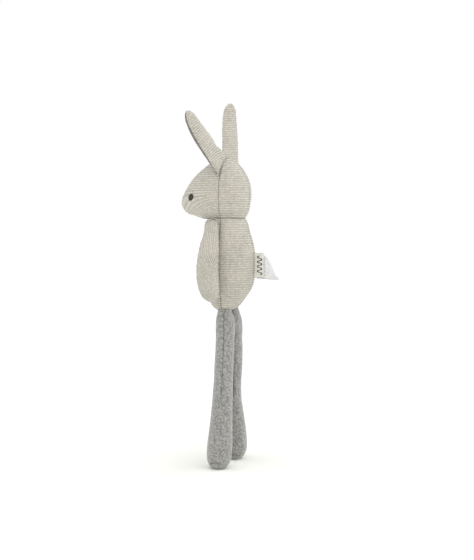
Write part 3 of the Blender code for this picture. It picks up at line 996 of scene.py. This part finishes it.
class RABBIT_OT_ears(bpy.types.Operator):
    """Sew both ears, each from a knitted back and a jersey lining"""

    bl_idname = "rabbit.ears"
    bl_label = "Ears"

    def execute(self, context):
        sewing, knit = context.scene.rabbit_sewing, context.scene.rabbit_knit
        for side in SIDES:
            bm = ear_mesh(side, sides=40, rings=34)
            whole = new_piece(f"ear_{side}_whole", bm, bpy.data.materials["Ribbed knit"])
            facing = lining_side(*[read_layer(whole.data, name) for name in EDGE_LAYERS])
            low = read_layer(whole.data, "ear_up") < EAR_BASE_PINNED
            plump(whole, (np.abs(facing) < EAR_SEAM_PINNED) | low, sewing)
            subdivide(whole, 2)

            def fabric(points, mesh=whole.data):
                return read_layer(mesh, "ear_across"), read_layer(mesh, "ear_course")

            def seams(points, mesh=whole.data):
                facing = lining_side(*[read_layer(mesh, name) for name in EDGE_LAYERS])
                return [(np.abs(facing) * 0.008, read_layer(mesh, "ear_up"))]

            sew(whole, fabric, seams, knit, sewing, soft=0.0002, seed=13)
            tip = max((vert.co for vert in whole.data.vertices), key=lambda point: point.z).copy()
            base = HINGES[f"ear_{side}"]
            toward = (tip - base).normalized()
            for part, keep, material, slot, nodes in (
                ("back", "back", "Ribbed knit", "knit", ("outer", "wadding")),
                ("lining", "front", "Ear lining", "ear_lining", ("lining",)),
            ):
                panel = ear_panel(whole, f"ear_{side}_{part}_panel", keep, bpy.data.materials[material])
                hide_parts(*[f"ear_{side}_{node}" for node in nodes])
                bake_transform(panel, "head", f"ear_{side}", base, base + toward * EAR_GIVE)
            bpy.data.objects.remove(whole)
        return {"FINISHED"}


# ---------------------------------------------------------------- face

EYE_THREADS, NOSE_THREADS = 13, 9
EYE_WIDEN, EYE_TALLER = 0.98, 1.18  # the eye's size against its CAD patch's
EYE_BACK = 0.0028  # and how far behind it the eye is sewn
NOSE_WIDEN, NOSE_TALLER = 0.62, 0.85  # the nose's size against its CAD patch's
THREAD_PROUD = 0.0003  # how far the threads' middles stand off the cover
THREAD_SLANT = 0.12
THREAD_SPREAD = 1.35  # how much wider than its own strip a thread is


def satin_patch(name, node, threads, tree, outline, widen, taller, back=0.0):
    """Satin stitch in a CAD patch's place: threads side by side over the cover, as long as outline says."""
    low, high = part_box(node)
    middle = (low + high) / 2
    middle.y += back
    outward = Vector((middle.x, middle.y - NECK.y, 0)).normalized()
    beside = UP.cross(outward)
    points = [vert.co - middle for vert in frame["nodes"][node].data.vertices]
    half_wide = max(abs(point.dot(beside)) for point in points) * widen
    half_tall = max(abs(point.z) for point in points) * taller
    bm = bmesh.new()
    for index in range(threads):
        share = -1 + 2 * (index + 0.5) / threads
        across = beside * half_wide * share
        length = 2 * half_tall * outline(share)
        point, normal = land(tree, middle + across + outward * 0.05, -outward)
        radius = half_wide / threads * THREAD_SPREAD
        add_stitch(bm, point + normal * THREAD_PROUD, normal, UP + beside * THREAD_SLANT, length, radius)
    piece = new_piece(name, bm, bpy.data.materials["Dark thread"])
    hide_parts(node)
    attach(piece, "head")


def oval(share):
    """The height of a blunt oval, from 0.04 at its two sides to 1 in the middle."""
    return math.sqrt(max(0.0, 1 - share * share)) * 0.96 + 0.04


def shield(share):
    """The height of a lozenge with blunt sides."""
    return (1 - abs(share)) * 0.75 + 0.25


class RABBIT_OT_face(bpy.types.Operator):
    """Embroider the eyes and the nose"""

    bl_idname = "rabbit.face"
    bl_label = "Face"

    def execute(self, context):
        tree = tree_of(bpy.data.objects["head_cover"])
        for side in SIDES:
            size = EYE_WIDEN, EYE_TALLER, EYE_BACK
            satin_patch(f"eye_{side}_stitches", f"eye_{side}", EYE_THREADS, tree, oval, *size)
        satin_patch("nose_stitches", "nose", NOSE_THREADS, tree, shield, NOSE_WIDEN, NOSE_TALLER)
        return {"FINISHED"}


# ---------------------------------------------------------------- seam stitches

def stitch_row(name, piece, places, length):
    """A row of thread stitches on a cover, each from (start of a line to the cover, its direction, run)."""
    sewing = bpy.context.scene.rabbit_sewing
    tree = tree_of(piece)
    bm = bmesh.new()
    for start, direction, run in places:
        point, normal = land(tree, start, direction)
        add_stitch(bm, point, normal, Vector(run), length, sewing.thread)
    return new_piece(name, bm, bpy.data.materials["Seam thread"])


STITCH_LENGTH = 0.0018
HEAD_ROW = 0.006, 0.052  # the seams' ends, up from the neck
BODY_ROW = -0.108, -0.006


class RABBIT_OT_stitches(bpy.types.Operator):
    """Sew the zigzag of thread down the side seams of the head and the body"""

    bl_idname = "rabbit.stitches"
    bl_label = "Seam stitches"

    def execute(self, context):
        pitch = context.scene.rabbit_sewing.stitch_pitch
        head, body = bpy.data.objects["head_cover"], bpy.data.objects["body_cover"]
        for side, sign in SIDES.items():
            sideways = Vector((sign, 0, 0))
            for piece, (low, high) in ((head, HEAD_ROW), (body, BODY_ROW)):
                places = []
                for index in range(int((high - low) / pitch)):
                    start = NECK + UP * (low + index * pitch) + sideways * 0.1
                    places.append((start, -sideways, (0, 1, 0.5 if index % 2 else -0.5)))
                name = f"{piece.name.split('_')[0]}_{side}_seam_thread"
                row = stitch_row(name, piece, places, STITCH_LENGTH)
                if piece is head:
                    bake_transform(row, "body", "head", NECK, NECK + UP * HEAD_BLEND)
                else:
                    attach(row, "body")
        return {"FINISHED"}


# ---------------------------------------------------------------- labels

LABEL_CLOTH, CARE_CLOTH = 0.0004, 0.00025  # thickness of the woven label and the satin one
SEAM_ALLOWANCE = 0.002  # how far the woven label reaches in past the seam
MOTIF_STITCHES, MOTIF_WAVES = 36, 4
MOTIF_MARGIN = 0.12  # the share of the label's height left free at each end of the wave
MOTIF_SWING = 0.0030


def label_mesh(columns, rows, place):
    """A strip of cloth as a grid, whose point at (share out, share up) is moved by place."""
    bm = bmesh.new()
    bmesh.ops.create_grid(bm, x_segments=columns, y_segments=rows, size=0.5, calc_uvs=False)
    fabric_map = bm.loops.layers.uv.new(FABRIC_MAP)
    for face in bm.faces:
        for loop in face.loops:
            loop[fabric_map].uv = (loop.vert.co.x + 0.5, loop.vert.co.y + 0.5)
    for vert in bm.verts:
        vert.co = place(vert.co.x + 0.5, vert.co.y + 0.5)
    return bm


def wave_motif(tree, low, high):
    """A plain running wave, embroidered in dark thread up both faces of the woven label."""
    bm = bmesh.new()
    for sign in SIDES.values():
        sideways = Vector((sign, 0, 0))
        for index in range(MOTIF_STITCHES):
            share = (index + 0.5) / MOTIF_STITCHES
            turn = share * MOTIF_WAVES * 2 * math.pi
            beside = (low.y + high.y) / 2 + math.sin(turn) * MOTIF_SWING
            level = low.z + (high.z - low.z) * (MOTIF_MARGIN + (1 - 2 * MOTIF_MARGIN) * share)
            point, normal = land(tree, Vector((0, beside, level)) + sideways * 0.03, -sideways)
            run = Vector((0, math.cos(turn) * 0.9, 0.8))
            add_stitch(bm, point, normal, run, length=0.0026, radius=0.0005)
    return new_piece("woven_label_motif", bm, bpy.data.materials["Dark thread"])


class RABBIT_OT_labels(bpy.types.Operator):
    """Cut, fold and sew in the woven label and the satin care label"""

    bl_idname = "rabbit.labels"
    bl_label = "Labels"

    def execute(self, context):
        low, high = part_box("woven_label")
        loop_length = high.y - low.y + SEAM_ALLOWANCE

        def folded(out, up):
            """Out along one side of the loop, round its fold, and back."""
            travel = out * 2 - 1
            reach = (1 - abs(travel) ** 2.2) ** (1 / 2.2)
            bow = 0.0007 * math.sin(math.pi * up)
            half = 0.0005 + 0.0004 * (1 - abs(travel))
            return Vector((
                (low.x + high.x) / 2 + math.copysign(half, travel) * min(1.0, abs(travel) * 6) + bow * reach,
                low.y - SEAM_ALLOWANCE + loop_length * (1 - abs(travel)) ** 0.98,
                low.z + (high.z - low.z) * up + 0.0006 * (1 - abs(travel)),
            ))

        bm = label_mesh(40, 30, folded)
        bmesh.ops.solidify(bm, geom=bm.faces, thickness=LABEL_CLOTH)
        label = new_piece("woven_label_loop", bm, bpy.data.materials["Woven tape"])
        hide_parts("woven_label")
        motif = wave_motif(tree_of(label), low, high)
        care_low, care_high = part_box("care_label")
        reach = care_high.y - care_low.y

        def curled(out, up):
            """A leaf: its upper edge falls to the tip, and it curls aside as it goes out."""
            top = care_high.z - 0.0005 - 0.0265 * ease((out - 0.30) / 0.70) * (0.6 + 0.4 * out)
            bottom = care_low.z + 0.0020 + 0.0005 * math.cos(out * 4)
            curl = 0.0016 * math.sin(math.pi * up) * out + 0.0030 * out * out
            height = bottom + max(0.0018, top - bottom) * up
            return Vector((care_low.x + curl - 0.0002, care_low.y + reach * out, height))

        bm = label_mesh(36, 24, curled)
        bmesh.ops.solidify(bm, geom=bm.faces, thickness=CARE_CLOTH)
        care = new_piece("care_label_leaf", bm, bpy.data.materials["Satin tape"])
        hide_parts("care_label")
        hinge = HINGES["labels"]
        for piece in (label, care, motif):
            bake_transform(piece, "body", "labels", hinge, hinge + Vector((0, 0.006, 0)))
        return {"FINISHED"}


# ---------------------------------------------------------------- materials and stage

class RABBIT_OT_materials(bpy.types.Operator):
    """Make every fabric and thread"""

    bl_idname = "rabbit.materials"
    bl_label = "Fabrics"

    def execute(self, context):
        knit, jersey = context.scene.rabbit_knit, context.scene.rabbit_jersey
        knit_material(knit)
        jersey_material("Melange jersey", jersey.light, jersey.dark)
        jersey_material("Ear lining", jersey.lining_light, jersey.lining_dark)
        thread_material("Dark thread", (0.060, 0.052, 0.040))
        thread_material("Seam thread", (0.20, 0.18, 0.15))
        tape_material("Woven tape", (0.76, 0.75, 0.68), (0.60, 0.59, 0.52), 60, 0.8, 3.0)
        tape_material("Satin tape", (0.82, 0.82, 0.81), (0.72, 0.72, 0.71), 90, 0.45, 1.5, printed=0.45)
        return {"FINISHED"}


def soft_light(name, toward, softness, strength):
    """A wide, even light that comes from this direction."""
    light = bpy.data.lights.new(name, "SUN")
    light.angle, light.energy = softness, strength
    lamp = bpy.data.objects.new(name, light)
    lamp.rotation_euler = Vector(toward).to_track_quat("Z", "Y").to_euler()
    bpy.context.scene.collection.objects.link(lamp)


def floor_material():
    """White, a little darker and creamier close to the toy: painted shade round the toy."""
    shader = Shader("Pale floor", 0.7)
    place = shader.node("TexCoord").outputs["Object"]
    away = shader.node("VectorMath", {0: place, 1: (0, 0, 0)}, operation="DISTANCE").outputs["Value"]
    # painted shade: the floor a little darker and creamier within about 30 cm of the toy
    share = shader.fit(away, 0.06, 0.30)
    colour = shader.mix(share, (0.93, 0.93, 0.885, 1), (0.95, 0.95, 0.95, 1))
    shader.put(shader.surface.inputs["Base Color"], colour)
    return shader.material


FLOOR_RADIUS = 60.0
RIGHT_SHARE, LEFT_SHARE = 1.15, 0.75  # of the side lights' strength


class RABBIT_OT_stage(bpy.types.Operator):
    """Set up the camera, the pale floor and the soft light"""

    bl_idname = "rabbit.stage"
    bl_label = "Stage"

    def execute(self, context):
        stage, scene = context.scene.rabbit_stage, context.scene
        toward = Vector((math.sin(stage.azimuth), -math.cos(stage.azimuth), 0))
        right = UP.cross(toward)
        camera = bpy.data.objects.new("Camera", bpy.data.cameras.new("Camera"))
        camera.data.lens = stage.lens
        camera.location = NECK + toward * stage.distance
        camera.data.shift_y = -stage.drop
        target = NECK + right * stage.aside
        camera.rotation_euler = (target - camera.location).to_track_quat("-Z", "Y").to_euler()
        scene.collection.objects.link(camera)
        scene.camera = camera

        world = bpy.data.worlds.new("Studio")
        world.use_nodes = True
        tree = world.node_tree
        backdrop = tree.nodes["Background"]
        backdrop.inputs["Color"].default_value = (1, 1, 1, 1)
        seen = tree.nodes.new("ShaderNodeLightPath").outputs["Is Camera Ray"]
        spread = tree.nodes.new("ShaderNodeMapRange")
        spread.inputs["To Min"].default_value = stage.ambient
        spread.inputs["To Max"].default_value = 1.0
        tree.links.new(seen, spread.inputs["Value"])
        tree.links.new(spread.outputs[0], backdrop.inputs["Strength"])
        scene.world = world
        scene.view_settings.view_transform = "Standard"

        from_right, from_left = right + toward * 0.35 + UP * 0.6, toward * 0.45 - right + UP * 0.6
        soft_light("Right light", from_right, stage.softness, stage.side_light * RIGHT_SHARE)
        soft_light("Left light", from_left, stage.softness, stage.side_light * LEFT_SHARE)
        soft_light("Top light", UP, stage.softness, stage.top_light)

        bm = bmesh.new()
        bmesh.ops.create_circle(bm, cap_ends=True, segments=64, radius=FLOOR_RADIUS)
        mesh = bpy.data.meshes.new("floor")
        bm.to_mesh(mesh)
        bm.free()
        floor = bpy.data.objects.new("floor", mesh)
        mesh.materials.append(floor_material())
        scene.collection.objects.link(floor)
        return {"FINISHED"}


STEPS = (
    RABBIT_OT_stage,
    RABBIT_OT_materials,
    RABBIT_OT_head,
    RABBIT_OT_body,
    RABBIT_OT_arms,
    RABBIT_OT_legs,
    RABBIT_OT_ears,
    RABBIT_OT_face,
    RABBIT_OT_stitches,
    RABBIT_OT_labels,
)


class RABBIT_PT_panel(bpy.types.Panel):
    """Lists the rabbit's operators in the sidebar"""

    bl_idname = "RABBIT_PT_panel"
    bl_label = "Stuffed Rabbit"
    bl_space_type = "VIEW_3D"
    bl_region_type = "UI"
    bl_category = "Rabbit"

    def draw(self, context):
        for step in STEPS:
            self.layout.operator(step.bl_idname)
        for name in GROUPS:
            box = self.layout.box()
            group = getattr(context.scene, name)
            for key in group.__annotations__:
                box.prop(group, key)


def register():
    for kind in (*GROUPS.values(), *STEPS, RABBIT_PT_panel):
        bpy.utils.register_class(kind)
    for name, kind in GROUPS.items():
        setattr(bpy.types.Scene, name, PointerProperty(type=kind))


def unregister():
    for name in GROUPS:
        delattr(bpy.types.Scene, name)
    for kind in (RABBIT_PT_panel, *reversed(STEPS), *GROUPS.values()):
        bpy.utils.unregister_class(kind)


def main():
    """Registers the add-on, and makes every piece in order."""
    register()
    for step in STEPS:
        group, name = step.bl_idname.split(".")
        getattr(getattr(bpy.ops, group), name)()


if __name__ == "__main__":
    main()
